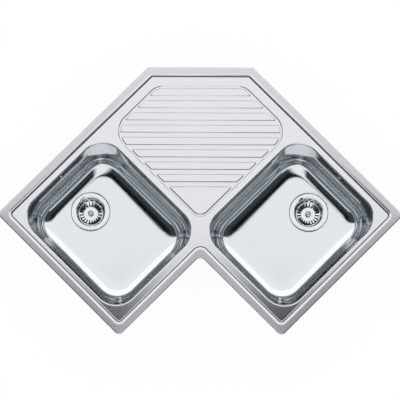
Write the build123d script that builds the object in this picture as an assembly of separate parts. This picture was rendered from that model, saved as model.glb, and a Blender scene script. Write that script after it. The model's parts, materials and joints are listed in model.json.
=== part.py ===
from build123d import *

import os
from math import atan2, cos, pi, radians, sin, sqrt, tan

# Corner kitchen sink with two bowls and a drainer between them, laid into a worktop corner.
# Sizes are in millimetres. The origin is the middle of the rim's back edge, on the worktop's
# top plane. +Y points at the corner of the walls, +X to the right, +Z up.
#
# Leg coordinates: s runs along the left wall from the corner of the walls, t from that wall
# into the room. The right half is the left half mirrored in the plane X = 0.

# Plan of the rim
corner_cut = 217.0          # what the back edge takes off each wall side
back_corner_radius = 10.0
end_corner_radius = 15.0
notch_corner_radius = 17.0
least_corner_radius = 3.0   # of anything cut parallel to the rim's edge

# Section of the rim
sheet = 1.0
rim_height = 4.0            # top of the rim band above the worktop
band_width = 25.0
slope_width = 3.5
recess_depth = 4.5          # from the rim band down to the deck
band_edge_radius = 2.2
crease_radius = 13.0
notch_crease_radius = 24.5

# Bowls
bowl_width = 340.0          # along the wall
bowl_length = 400.0         # across the leg
bowl_corner_radius = 66.0
bowl_depth = 165.0
wall_margin = 47.5          # from the wall side of the rim to the bowl
front_margin = 52.5         # from the front of the leg to the bowl
end_margin = 40.0           # from the leg's end to the bowl
bowl_offset = 2.5           # along the wall, from the middle plane to the bowl's inner corner
roll_radius = 4.0           # where the deck turns down into the bowl
collar_depth = 8.0          # from the deck to the weld between deck and bowl
wall_draft = 4.4
floor_radius = 45.0

# Drainer, a sunk field with flat bars left standing in it
drainer_margin = 55.0       # from the wall sides of the rim
drainer_back_margin = 53.6
drainer_bowl_gap = 21.0
drainer_back_radius = 50.0
drainer_side_radius = 62.0
drainer_front_radius = 34.0
channel_depth = 2.0
channel_draft = 45.0
edge_channel = 6.5          # from the field's upper edge to the foot of the bars
bar_width = 23.5            # at the foot
channel_width = 12.75       # at the bottom
front_bar_length = 60.0     # the least length of the last bar, the triangle at the front
bar_corner_radius = 3.5

# Waste fitting. Drops are measured down from the seat that is pressed into the bowl's floor
waste_to_wall = 163.5       # from the wall side of the rim to the waste's axis
seat_radius = 57.5
seat_depth = 3.0
waste_hole_radius = 45.0
flange_radius = 56.5
upper_gasket = 1.5
lower_gasket = 3.0
gasket_inner_radius = 46.5
gasket_outer_radius = 54.5
cup_sheet = 1.0
cup_mouth_radius = 42.0
cup_waist_radius = 38.5
cup_waist_drop = 33.0
cup_foot_radius = 36.5
cup_drop = 46.0             # to the floor of the cup
cup_round = 2.5
cup_floor_round = 4.0
throat_radius = 26.0
throat_length = 12.0
spider_height = 4.0
spider_arm = 4.0
spider_hub_radius = 6.5

# Strainer basket, which lifts out of the cup
basket_sheet = 0.8
basket_floor_drop = 30.0
basket_rim_drop = 25.0
basket_rim_radius = 36.8
basket_cone_radius = 35.6
basket_floor_radius = 20.0
basket_fold = 2.0           # round between the basket's floor and its cone
basket_edge = 0.2
slot_count = 20
slot_width = 4.0
slot_inner_radius = 20.5
slot_outer_radius = 34.0
plug_radius = 30.0
plug_thickness = 2.2
stem_radius = 3.0
stem_clearance = 0.05
shank_radius = 6.0          # between the plug and the basket
knob_radius = 8.5
knob_top_drop = 17.0
knob_dome = 4.5
knob_edge = 1.5
rivet_radius = 5.5
rivet_height = 2.5

# Waste body under the bowl
body_flange_width = 6.0
body_flange = 5.0
body_wall = 3.4
body_cup_gap = 3.6          # between the cup's mouth and the waste body's wall
body_shoulder_drop = 43.0
body_cone_drop = 66.0
body_edge_round = 1.0
body_shoulder_round = 3.0
outlet_radius = 23.9        # plain, at the outer size of a 1 1/2 inch pipe thread
outlet_bore_radius = 20.0
outlet_length = 24.0
nut_boss_radius = 7.0
nut_boss_drop = 62.0
nut_boss_length = 18.0
rib_thickness = 2.5
rib_count = 3
waste_screw_radius = 3.0
waste_screw_head_radius = 5.0
waste_screw_head = 3.2
waste_screw_round = 1.2
waste_screw_length = 24.0
spider_screw_clearance = 0.3
thread_clearance = 0.05

# Overflow in the wall side of each bowl
overflow_drop = 25.0        # below the deck
overflow_hole_radius = 3.0
overflow_hole_pitch = 9.75
overflow_gasket = 2.0
overflow_screw_radius = 2.0
overflow_screw_head_radius = 4.0
overflow_screw_head = 2.0
overflow_screw_round = 1.2
overflow_screw_length = 15.0
screw_hole_clearance = 0.5
housing_width = 60.0
housing_height = 24.0
housing_depth = 23.0
housing_wall = 3.0
housing_round = 8.0
housing_boss_radius = 4.5
spigot_radius = 8.5
spigot_wall = 1.5
spigot_length = 14.0
inlet_drop = 27.0           # of the waste body's inlet
inlet_length = 16.0

# Ribbed hose from the overflow to the waste body
hose_clearance = 0.1
hose_wall = 1.2
rib_height = 1.2
rib_pitch = 4.2
hose_bend_radius = 50.0
hose_end_gap = 2.0
clip_width = 8.0
clip_wall = 1.4
clip_inset = 2.0            # from the hose's end to the clip

# Rim seal and sound pads
seal_inset = 2.5
seal_width = 8.0
pad_thickness = 2.5
pad_round = 12.0
wall_pad_length = 190.0
wall_pad_height = 70.0
wall_pad_drop = 65.0
floor_pad_width = 200.0
floor_pad_length = 110.0
floor_pad_offset = 82.0     # from the bowl's middle towards the front
drainer_pad_width = 260.0
drainer_pad_length = 150.0
drainer_pad_back = 90.0     # from the rim's back edge to the pad

# Clamps. Insets are measured inwards from the rim's edge, drops from the worktop's top
worktop = 38.0
pivot_inset = 22.0
pivot_drop = 20.0
pin_radius = 2.5
pin_clearance = 0.05
pin_head_radius = 4.0
pin_head = 1.5
ear_gap = 16.0
ear_thickness = 2.0
ear_radius = 6.0
ear_top_out = 20.0
ear_top_in = 34.0
web_in = 36.0
web_thickness = 2.0
claw_clearance = 0.3
claw_boss_radius = 5.5
claw_plate = 3.0
claw_arm_out = 2.0          # from the pivot out to the upright arm
claw_reach = 18.0           # from the pivot out to the tip
claw_tooth = 3.0
claw_tooth_tip = 1.0
claw_teeth = 2
claw_tooth_pitch = 5.0
screw_arm = 7.0             # from the pivot in to the screw
screw_arm_plate = 4.0
screw_boss_radius = 4.0
screw_boss = 6.0
screw_radius = 2.5
screw_head_radius = 3.8
screw_head = 2.5
screw_reserve = 3.5         # thread left between the claw and the screw's head
screw_tip_gap = 0.2
screw_slot = 1.2

wall_clamp_start = 330.0    # the first along a wall side, from the corner of the walls
wall_clamp_end = 90.0       # the last along a wall side, from the leg's end
end_clamp_inset = 110.0     # both along a leg's end, from the wall and from the front
front_clamp_end = 165.0     # along a leg's front, from the leg's end
back_clamp = 85.0           # either side of the middle of the back edge

leg_depth = wall_margin + bowl_length + front_margin    # from the wall to a leg's front
inner_corner = wall_margin + bowl_length + bowl_offset  # from the corner of the walls to a bowl
wall_side = inner_corner + bowl_width + end_margin      # along each wall, to the leg's end
body_radius = cup_mouth_radius + cup_sheet + body_cup_gap + body_wall
body_flange_radius = body_radius + body_flange_width
deck_z = rim_height - recess_depth
deck_under = deck_z - sheet
weld_z = deck_z - collar_depth
floor_z = deck_z - bowl_depth
seat_z = floor_z - seat_depth
corner_y = corner_cut / sqrt(2)
bowl_s = inner_corner + bowl_width / 2
bowl_t = wall_margin + bowl_length / 2
leg_frame = Location((0, corner_y, 0), (0, 0, 225))
waste_frame = Pos(bowl_s, waste_to_wall, seat_z)


def on_left(shape):
    return leg_frame * shape


def on_right(shape):
    return mirror(leg_frame * shape, about=Plane.YZ)


def leg_xy(s, t):
    return (t - s) / sqrt(2), corner_y - (s + t) / sqrt(2)


def mirrored(points):
    return [(-x, y) for x, y in reversed(points)]


def inset(points, distance):
    """Move each side of a polygon inwards, for points that run anticlockwise."""
    moved = []
    for i, (x, y) in enumerate(points):
        before = Vector(x, y) - Vector(*points[i - 1])
        after = Vector(*points[(i + 1) % len(points)]) - Vector(x, y)
        normal = Vector(-before.Y, before.X).normalized()
        next_normal = Vector(-after.Y, after.X).normalized()
        step = (normal + next_normal) * (distance / (1 + normal.dot(next_normal)))
        moved.append((x + step.X, y + step.Y))
    return moved


def rounded_face(points, radii):
    return make_face(FilletPolyline(*points, radius=radii, close=True).edges())


def turned(points, radii):
    """A solid of revolution about Z from its section's corners, as (radius, height)."""
    corners = [(r, 0, z) for r, z in points]
    section = make_face(FilletPolyline(*corners, radius=radii, close=True).edges())
    return revolve(section, axis=Axis.Z)


def rod(radius, bottom, top):
    return Pos(0, 0, bottom) * extrude(Circle(radius), top - bottom)


def ring(outer, inner, bottom, top):
    return rod(outer, bottom, top) - rod(inner, bottom, top)


def slab(face, bottom, top):
    return Pos(0, 0, bottom) * extrude(face, top - bottom)


# Deck: rim, recess, drainer and the collars that the bowls are welded to

left_rim = [leg_xy(corner_cut, 0), leg_xy(wall_side, 0), leg_xy(wall_side, leg_depth)]
rim_points = left_rim + [leg_xy(leg_depth, leg_depth)] + mirrored(left_rim)


def rim_outline(distance):
    back = max(back_corner_radius - distance, least_corner_radius)
    end = max(end_corner_radius - distance, least_corner_radius)
    notch = notch_corner_radius + distance
    return rounded_face(inset(rim_points, distance), [back, end, end, notch, end, end, back])


def crease_outline(distance):
    """The crease between band and slope, or a line that lies distance inside it."""
    out, notch = crease_radius - distance, notch_crease_radius + distance
    points = inset(rim_points, band_width + distance)
    return rounded_face(points, [out, out, out, notch, out, out, out])


def drainer_outline(distance):
    far = inner_corner - drainer_bowl_gap
    back = sqrt(2) * (drainer_back_margin + corner_y) - drainer_margin
    left = [leg_xy(back, drainer_margin), leg_xy(far, drainer_margin)]
    points = left + [leg_xy(far, far)] + mirrored(left)
    radii = [drainer_back_radius, drainer_side_radius, drainer_front_radius]
    radii += [drainer_side_radius, drainer_back_radius]
    return rounded_face(inset(points, distance), [r - distance for r in radii])


def drainer_bars():
    """The feet of the bars: slices of the field's inner part, with small round corners."""
    field = drainer_outline(edge_channel)
    back = -drainer_back_margin - edge_channel
    pitch = bar_width + channel_width
    length = back - field.bounding_box().min.Y
    last = int((length - front_bar_length) / pitch)
    bars = []
    for i in range(last + 1):
        depth = bar_width if i < last else length
        strip = Pos(0, back - depth / 2) * Rectangle(2 * wall_side, depth)
        bar = offset(field & strip, -bar_corner_radius)
        bars.append(offset(bar, bar_corner_radius))
        back -= pitch
    return bars


def bowl_section(grow):
    width, length = bowl_width + 2 * grow, bowl_length + 2 * grow
    return Pos(bowl_s, bowl_t) * RectangleRounded(width, length, bowl_corner_radius + grow)


def under_skin(depth, bottom):
    """All that lies depth or more inside the pressed sheet's upper face."""
    top, floor = rim_height - depth, deck_z - depth
    form = slab(rim_outline(depth), bottom, top)
    form = fillet(form.edges().group_by(Axis.Z)[-1], band_edge_radius - depth)
    outwards = depth * tan(atan2(recess_depth, slope_width) / 2)
    form -= loft([Pos(0, 0, floor) * crease_outline(slope_width - outwards),
                  Pos(0, 0, top) * crease_outline(-outwards)], ruled=True)
    opening = slab(bowl_section(depth), bottom, top)
    form = form - on_left(opening) - on_right(opening)
    deck_face = form.faces().filter_by_position(Axis.Z, floor - sheet / 2, floor + sheet / 2)[0]
    rolls = [edge for wire in deck_face.inner_wires() for edge in wire.edges()]
    form = fillet(rolls, roll_radius - depth)
    field = Pos(0, 0, floor) * extrude(drainer_outline(0), -channel_depth, taper=channel_draft)
    for bar in drainer_bars():
        field -= Pos(0, 0, floor - channel_depth) * extrude(
            bar, channel_depth, taper=channel_draft)
    return form - field


def make_deck():
    bottom = weld_z - sheet
    deck = under_skin(0, bottom) - under_skin(sheet, bottom - sheet)
    below_lip = rim_outline(-sheet) - rim_outline(seal_inset + seal_width)
    deck -= slab(below_lip, bottom - sheet, 0)
    return split(deck, bisect_by=Plane.XY.offset(weld_z), keep=Keep.TOP)


# Bowls

def cavity(grow):
    form = Pos(0, 0, weld_z) * extrude(
        bowl_section(grow), floor_z - grow - weld_z, taper=wall_draft)
    return fillet(form.edges().group_by(Axis.Z)[0], floor_radius + grow)


def outer_face(direction, height):
    """The plane on a bowl wall's outer face; direction is the wall's side in degrees."""
    half = (bowl_length if direction % 180 else bowl_width) / 2
    reach = half + sheet - (weld_z - height) * tan(radians(wall_draft))
    out = Vector(cos(radians(direction)), sin(radians(direction)), 0)
    along = Vector(-out.Y, out.X, 0)
    normal = out * cos(radians(wall_draft)) - Vector(0, 0, sin(radians(wall_draft)))
    return Plane(Vector(bowl_s, bowl_t, height) + out * reach, x_dir=along, z_dir=normal)


overflow_plane = outer_face(-90, deck_z - overflow_drop)


def make_bowl():
    bowl = cavity(sheet) + waste_frame * rod(seat_radius + sheet, -sheet, seat_depth)
    bowl = bowl - cavity(0) - waste_frame * rod(seat_radius, 0, seat_depth + sheet)
    bowl -= waste_frame * rod(waste_hole_radius, -2 * sheet, seat_depth)
    for place in (-2, -1, 1, 2):
        hole = Pos(place * overflow_hole_pitch) * rod(overflow_hole_radius, -2 * sheet, sheet)
        bowl -= overflow_plane * hole
    screw_hole = rod(overflow_screw_radius + screw_hole_clearance, -2 * sheet, sheet)
    return bowl - overflow_plane * screw_hole


def make_rim_seal():
    strip = rim_outline(seal_inset) - rim_outline(seal_inset + seal_width)
    return slab(strip, 0, rim_height - sheet)


def make_sound_pads():
    wall_pad = extrude(
        RectangleRounded(wall_pad_length, wall_pad_height, pad_round), pad_thickness)
    pads = [outer_face(side, deck_z - wall_pad_drop) * wall_pad for side in (90, 180)]
    floor_pad = Pos(bowl_s, bowl_t + floor_pad_offset) * RectangleRounded(
        floor_pad_width, floor_pad_length, pad_round)
    pads.append(slab(floor_pad, floor_z - sheet - pad_thickness, floor_z - sheet))
    drainer_pad = Pos(0, -drainer_pad_back - drainer_pad_length / 2) * RectangleRounded(
        drainer_pad_width, drainer_pad_length, pad_round)
    under_channels = deck_under - channel_depth
    solids = [slab(drainer_pad, under_channels - pad_thickness, under_channels)]
    solids += [on_left(pad) for pad in pads] + [on_right(pad) for pad in pads]
    return Compound(children=solids)


# Waste fitting, each piece standing on the waste's axis with the bowl's seat at zero

def make_waste_cup():
    top = upper_gasket + cup_sheet
    throat_end = -cup_drop - throat_length
    points = [
        (flange_radius, top), (cup_mouth_radius, top),
        (cup_waist_radius, -cup_waist_drop), (cup_foot_radius, -cup_drop),
        (throat_radius, -cup_drop), (throat_radius, throat_end),
        (throat_radius + cup_sheet, throat_end), (throat_radius + cup_sheet, -cup_drop - cup_sheet),
        (cup_foot_radius + cup_sheet, -cup_drop - cup_sheet),
        (cup_waist_radius + cup_sheet, -cup_waist_drop),
        (cup_mouth_radius + cup_sheet, upper_gasket), (flange_radius, upper_gasket)]
    inner_round, outer_round = cup_floor_round, cup_floor_round + cup_sheet
    edge = cup_sheet / 3
    radii = [edge, cup_round, inner_round, inner_round, edge + cup_sheet, 0,
             0, edge, outer_round, outer_round, cup_round - cup_sheet, edge]
    cup = turned(points, radii)
    arm = Rectangle(2 * throat_radius + cup_sheet, spider_arm)
    spider = arm + Rot(0, 0, 90) * arm + Circle(spider_hub_radius)
    spider -= Circle(waste_screw_radius + spider_screw_clearance)
    return cup + slab(spider, throat_end, throat_end + spider_height)


def make_upper_gasket():
    return ring(gasket_outer_radius, gasket_inner_radius, 0, upper_gasket)


def make_lower_gasket():
    return ring(gasket_outer_radius, gasket_inner_radius, -sheet - lower_gasket, -sheet)


def make_waste_body():
    top = -sheet - lower_gasket
    inner = body_radius - body_wall
    end = -body_cone_drop - outlet_length
    points = [
        (inner, top), (body_flange_radius, top), (body_flange_radius, top - body_flange),
        (body_radius, top - body_flange), (body_radius, -body_shoulder_drop),
        (outlet_radius, -body_cone_drop), (outlet_radius, end), (outlet_bore_radius, end),
        (outlet_bore_radius, -body_cone_drop), (inner, -body_shoulder_drop)]
    edge, fold = body_edge_round, body_shoulder_round
    body = turned(points, [0, edge, edge, fold, fold, edge, 0, 0, edge, fold])
    rib = Pos((outlet_bore_radius + body_wall / 2) / 2) * Rectangle(
        outlet_bore_radius + body_wall / 2, rib_thickness)
    boss_end = -nut_boss_drop - nut_boss_length
    for i in range(rib_count):
        body += Rot(0, 0, 90 + i * 360 / rib_count) * slab(rib, boss_end, -body_cone_drop)
    body += rod(nut_boss_radius, boss_end, -nut_boss_drop)
    body -= rod(waste_screw_radius + thread_clearance, boss_end, -nut_boss_drop)
    inlet = Plane((0, 0, -inlet_drop), x_dir=(1, 0, 0), z_dir=(0, -1, 0))
    body += inlet * rod(spigot_radius, body_radius - body_wall / 2, body_radius + inlet_length)
    bore = rod(spigot_radius - spigot_wall, inner - body_wall, body_radius + inlet_length)
    return body - inlet * bore


def make_waste_screw():
    seat = -cup_drop - throat_length + spider_height
    head = fillet(
        rod(waste_screw_head_radius, seat, seat + waste_screw_head).edges().group_by(Axis.Z)[-1],
        waste_screw_round)
    return head + rod(waste_screw_radius, seat - waste_screw_length, seat)


def make_basket():
    rim, floor, hole = -basket_rim_drop, -basket_floor_drop, stem_radius + stem_clearance
    points = [
        (hole, floor), (basket_floor_radius, floor), (basket_cone_radius, rim),
        (basket_rim_radius, rim), (basket_rim_radius, rim - basket_sheet),
        (basket_cone_radius + basket_sheet / 3, rim - basket_sheet),
        (basket_floor_radius + basket_sheet / 3, floor - basket_sheet),
        (hole, floor - basket_sheet)]
    fold, edge = basket_fold, basket_edge
    basket = turned(points, [0, fold, 2 * edge, edge, edge, edge, fold, 0])
    slot = Pos((slot_inner_radius + slot_outer_radius) / 2) * SlotOverall(
        slot_outer_radius - slot_inner_radius, slot_width)
    cutter = slab(slot, floor - basket_sheet, rim)
    for i in range(slot_count):
        basket -= Rot(0, 0, i * 360 / slot_count) * cutter
    return basket


def make_plug_seal():
    return ring(plug_radius, stem_radius + stem_clearance, -cup_drop, -cup_drop + plug_thickness)


def make_knob():
    plug_under, top = -cup_drop, -knob_top_drop
    plug_top, basket_under = plug_under + plug_thickness, -basket_floor_drop - basket_sheet
    edge = top - knob_dome
    dome_radius = (knob_radius ** 2 + knob_dome ** 2) / (2 * knob_dome)
    middle = (knob_radius / 2, 0, top - dome_radius + sqrt(dome_radius ** 2 - knob_radius ** 2 / 4))
    outline = Polyline(
        (0, 0, top), (0, 0, plug_under - rivet_height), (rivet_radius, 0, plug_under - rivet_height),
        (rivet_radius, 0, plug_under), (stem_radius, 0, plug_under),
        (stem_radius, 0, plug_top), (shank_radius, 0, plug_top),
        (shank_radius, 0, basket_under), (stem_radius, 0, basket_under),
        (stem_radius, 0, edge - knob_edge), (knob_radius - knob_edge, 0, edge - knob_edge),
        (knob_radius, 0, edge))
    outline += ThreePointArc((knob_radius, 0, edge), middle, (0, 0, top))
    return revolve(make_face(outline.edges()), axis=Axis.Z)


# Overflow: housing behind the wall, its gasket and screw

housing_outer = RectangleRounded(housing_width, housing_height, housing_round)
housing_inner = RectangleRounded(
    housing_width - 2 * housing_wall, housing_height - 2 * housing_wall,
    housing_round - housing_wall)
spigot_root = overflow_plane.from_local_coords(
    Vector(0, -housing_height / 2, overflow_gasket + housing_depth / 2))


def make_overflow_gasket():
    return overflow_plane * extrude(housing_outer - housing_inner, overflow_gasket)


def make_overflow_housing():
    back = overflow_gasket + housing_depth
    box = slab(housing_outer, overflow_gasket, back)
    box -= slab(housing_inner, overflow_gasket, back - housing_wall)
    box += rod(housing_boss_radius, 0, back)
    box -= rod(overflow_screw_radius + thread_clearance, 0, back - housing_wall)
    foot = Pos(spigot_root.X, spigot_root.Y, spigot_root.Z)
    housing = overflow_plane * box + foot * rod(spigot_radius, -spigot_length, housing_wall / 2)
    return housing - foot * rod(spigot_radius - spigot_wall, -spigot_length, 2 * housing_wall)


def make_overflow_screw():
    head = rod(overflow_screw_head_radius, -overflow_screw_head, 0)
    head = fillet(head.edges().group_by(Axis.Z)[0], overflow_screw_round)
    screw = Pos(0, 0, -sheet) * (head + rod(overflow_screw_radius, 0, overflow_screw_length))
    return overflow_plane * screw


# Ribbed hose, in the plane of s = bowl_s: down along the wall, a quarter bend, along under the bowl

hose_top = spigot_root.Z - hose_end_gap
hose_low = seat_z - inlet_drop
hose_down = hose_top - hose_low - hose_bend_radius
hose_bend = hose_bend_radius * pi / 2
hose_level = waste_to_wall - body_radius - hose_end_gap - spigot_root.Y - hose_bend_radius
hose_length = hose_down + hose_bend + hose_level
hose_bore_radius = spigot_radius + hose_clearance
hose_root_radius = hose_bore_radius + hose_wall


def hose_plane(distance):
    """The cross plane of the hose at a distance from its upper end, always with X along s."""
    if distance < hose_down:
        turn, t, z = 0, spigot_root.Y, hose_top - distance
    elif distance < hose_down + hose_bend:
        turn = (distance - hose_down) / hose_bend_radius
        t = spigot_root.Y + hose_bend_radius * (1 - cos(turn))
        z = hose_low + hose_bend_radius * (1 - sin(turn))
    else:
        turn, z = pi / 2, hose_low
        t = spigot_root.Y + hose_bend_radius + distance - hose_down - hose_bend
    return Plane((bowl_s, t, z), x_dir=(1, 0, 0), z_dir=(0, sin(turn), -cos(turn)))


def make_hose():
    ribs = round(hose_length / rib_pitch)
    pitch = hose_length / ribs
    crest = hose_root_radius + rib_height
    circles = []
    for i in range(ribs):
        for share, radius in ((0, hose_root_radius), (0.2, crest), (0.55, crest),
                              (0.75, hose_root_radius)):
            circles.append(hose_plane((i + share) * pitch) * Circle(radius))
    circles.append(hose_plane(hose_length) * Circle(hose_root_radius))
    start = hose_plane(0).origin
    corner = Vector(bowl_s, spigot_root.Y, hose_low)
    path = FilletPolyline(start, corner, hose_plane(hose_length).origin, radius=hose_bend_radius)
    bore = sweep(hose_plane(0) * Circle(hose_bore_radius), path=path)
    return loft(circles, ruled=True) - bore


def make_hose_clips():
    inner = hose_root_radius + rib_height + hose_clearance
    clip = ring(inner + clip_wall, inner, -clip_width / 2, clip_width / 2)
    middle = clip_inset + clip_width / 2
    return [hose_plane(place) * clip for place in (middle, hose_length - middle)]


# Clamps. Each is modelled at the rim's edge with +Y outwards, then set at its place

def clamp_places():
    """Where each clamp sits on the rim's edge, and the direction outwards in degrees."""
    left = [(leg_xy(s, 0), 135) for s in (wall_clamp_start, wall_side - wall_clamp_end)]
    left += [(leg_xy(wall_side, t), 225) for t in (end_clamp_inset, leg_depth - end_clamp_inset)]
    left.append((leg_xy(wall_side - front_clamp_end, leg_depth), 315))
    right = [((-x, y), 180 - out) for (x, y), out in left]
    back = [((-back_clamp, 0), 90), ((back_clamp, 0), 90)]
    return back + left + right


def clamp_frames():
    return [Location((x, y, 0), (0, 0, out - 90)) for (x, y), out in clamp_places()]


def plate(face, left, right):
    """Extrude a face drawn in the clamp's YZ plane from left to right."""
    return extrude(Plane.YZ.offset(left) * face, right - left)


pivot = Pos(-pivot_inset, -pivot_drop)
ear_inner, ear_outer = ear_gap / 2, ear_gap / 2 + ear_thickness


def make_bracket():
    ear = pivot * (Circle(ear_radius) - Circle(pin_radius + pin_clearance))
    ear += Polygon(
        (-ear_top_out, deck_under), (-ear_top_in, deck_under),
        (-pivot_inset - ear_radius, -pivot_drop), (-pivot_inset + ear_radius, -pivot_drop),
        align=None) - pivot * Circle(pin_radius + pin_clearance)
    web = Polygon(
        (-ear_top_out, deck_under), (-web_in, deck_under),
        (-web_in, deck_under - web_thickness), (-ear_top_out, deck_under - web_thickness),
        align=None)
    ears = plate(ear, ear_inner, ear_outer) + plate(ear, -ear_outer, -ear_inner)
    return ears + plate(web, -ear_outer, ear_outer)


def make_pin():
    head = pivot * Circle(pin_head_radius)
    pin = plate(pivot * Circle(pin_radius), -ear_outer, ear_outer)
    return pin + plate(head, ear_outer, ear_outer + pin_head) + plate(
        head, -ear_outer - pin_head, -ear_outer)


def make_claw():
    tip = pivot_drop - worktop
    foot = tip - claw_tooth
    inner = -screw_arm - screw_boss_radius
    half_arm = screw_arm_plate / 2
    outline = Circle(claw_boss_radius) + Polygon(
        (claw_arm_out, 0), (claw_arm_out, foot - claw_plate), (claw_reach, foot - claw_plate),
        (claw_reach, foot), (claw_arm_out + claw_plate, foot), (claw_arm_out + claw_plate, 0),
        align=None)
    outline += Polygon((0, -half_arm), (0, half_arm), (inner, half_arm), (inner, -half_arm),
                       align=None)
    for i in range(claw_teeth):
        out = claw_reach - i * claw_tooth_pitch
        outline += Polygon((out - claw_tooth, foot), (out, foot), (out, tip),
                           (out - claw_tooth_tip, tip), align=None)
    outline -= Circle(pin_radius + pin_clearance)
    half = ear_inner - claw_clearance
    claw = plate(pivot * outline, -half, half)
    middle = Pos(0, -pivot_inset - screw_arm, -pivot_drop)
    claw += middle * rod(screw_boss_radius, -screw_boss / 2, screw_boss / 2)
    return claw - middle * rod(screw_radius + thread_clearance, -screw_boss, screw_boss)


def make_clamp_screw():
    head_top = -pivot_drop - screw_boss / 2 - screw_reserve
    tip = deck_under - web_thickness - screw_tip_gap
    screw = rod(screw_radius, head_top, tip - screw_radius)
    screw += Pos(0, 0, tip - screw_radius) * Sphere(screw_radius)
    screw += rod(screw_head_radius, head_top - screw_head, head_top)
    screw -= Pos(0, 0, head_top - screw_head) * Box(2 * screw_head_radius, screw_slot, screw_slot)
    return Pos(0, -pivot_inset - screw_arm) * screw


# The pieces, each written to a file of its own

os.makedirs("parts", exist_ok=True)


def write(name, shape):
    export_step(shape, f"parts/{name}.step")


def write_pair(name, shape):
    write(f"left_{name}", on_left(shape))
    write(f"right_{name}", on_right(shape))


write("deck", make_deck())
write("rim_seal", make_rim_seal())
write("sound_pads", make_sound_pads())
write_pair("bowl", make_bowl())

write_pair("waste_cup", waste_frame * make_waste_cup())
write_pair("waste_upper_gasket", waste_frame * make_upper_gasket())
write_pair("waste_lower_gasket", waste_frame * make_lower_gasket())
write_pair("waste_body", waste_frame * make_waste_body())
write_pair("waste_screw", waste_frame * make_waste_screw())
write_pair("basket", waste_frame * make_basket())
write_pair("basket_plug_seal", waste_frame * make_plug_seal())
write_pair("basket_knob", waste_frame * make_knob())

write_pair("overflow_housing", make_overflow_housing())
write_pair("overflow_gasket", make_overflow_gasket())
write_pair("overflow_screw", make_overflow_screw())
hose = make_hose()
write_pair("overflow_hose", hose)
write_pair("overflow_hose_clips", Compound(children=make_hose_clips()))

frames = clamp_frames()
write("clamp_brackets", Compound(children=[frame * make_bracket() for frame in frames]))
write("clamp_pins", Compound(children=[frame * make_pin() for frame in frames]))
for number, frame in enumerate(frames, start=1):
    write(f"clamp_claw_{number:02d}", frame * make_claw())
    write(f"clamp_screw_{number:02d}", frame * make_clamp_screw())

root_area = pi * (hose_root_radius ** 2 - hose_bore_radius ** 2)
print(f"hose length {hose_length:.1f} mm, bend radius {hose_bend_radius:.0f} mm, "
      f"volume {hose.volume / hose_length:.1f} mm3 per mm, bare wall {root_area:.1f}")
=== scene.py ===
import json
from math import atan2, ceil, cos, degrees, pi, radians, sin, sqrt, tan

import bmesh
import bpy
from mathutils import Matrix, Vector
from mathutils.geometry import tessellate_polygon


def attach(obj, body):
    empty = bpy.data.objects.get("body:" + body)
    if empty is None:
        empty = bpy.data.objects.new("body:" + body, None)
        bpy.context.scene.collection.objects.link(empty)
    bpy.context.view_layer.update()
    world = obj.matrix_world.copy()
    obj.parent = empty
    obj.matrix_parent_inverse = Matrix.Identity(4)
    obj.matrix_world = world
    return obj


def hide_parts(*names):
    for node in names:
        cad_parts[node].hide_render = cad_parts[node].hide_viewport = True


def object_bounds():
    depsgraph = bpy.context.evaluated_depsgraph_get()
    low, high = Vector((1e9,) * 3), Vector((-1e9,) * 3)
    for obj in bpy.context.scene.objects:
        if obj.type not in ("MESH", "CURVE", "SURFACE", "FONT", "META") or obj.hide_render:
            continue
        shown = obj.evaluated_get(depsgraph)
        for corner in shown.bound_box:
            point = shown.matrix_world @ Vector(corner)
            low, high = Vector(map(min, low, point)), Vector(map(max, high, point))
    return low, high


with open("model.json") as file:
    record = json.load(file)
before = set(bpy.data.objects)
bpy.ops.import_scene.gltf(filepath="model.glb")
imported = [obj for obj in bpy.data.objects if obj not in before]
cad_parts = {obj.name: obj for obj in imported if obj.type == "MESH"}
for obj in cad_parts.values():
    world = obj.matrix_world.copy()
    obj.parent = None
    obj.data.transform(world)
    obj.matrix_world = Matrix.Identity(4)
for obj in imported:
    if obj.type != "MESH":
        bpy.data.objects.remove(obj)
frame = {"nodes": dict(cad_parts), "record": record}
cadLow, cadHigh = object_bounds()
scene = bpy.context.scene
print("frame:", len(frame["nodes"]), "nodes")

# Sizes are in millimetres and become metres when a mesh is made.
# Leg coordinates: s along the left wall from the corner of the walls, t into the room.
# The right half is the left half mirrored.

plan = {
    "wallSide": 830.0, "legDepth": 500.0, "cornerCut": 217.0,
    "backRadius": 10.0, "endRadius": 15.0, "notchRadius": 17.0,
    "bowlWidth": 340.0, "bowlLength": 400.0, "bowlRadius": 66.0,
    "wallMargin": 47.5, "endMargin": 40.0, "wasteToWall": 163.5,
    "deckTop": -0.5, "collarDepth": 8.0, "bowlDepth": 165.0, "wallDraft": 4.4,
}
weldHeight = plan["deckTop"] - plan["collarDepth"]
floorHeight = plan["deckTop"] - plan["bowlDepth"]
cornerY = plan["cornerCut"] / sqrt(2)
bowlS = plan["wallSide"] - plan["endMargin"] - plan["bowlWidth"] / 2
bowlT = plan["wallMargin"] + plan["bowlLength"] / 2
legTurn = radians(225)


def legPoint(s, t):
    return (t - s) / sqrt(2), cornerY - (s + t) / sqrt(2)


def legMatrix(side):
    place = Matrix.Translation((0, cornerY / 1000, 0)) @ Matrix.Rotation(legTurn, 4, "Z")
    return place if side == "left" else Matrix.Scale(-1, 4, (1, 0, 0)) @ place


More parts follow.
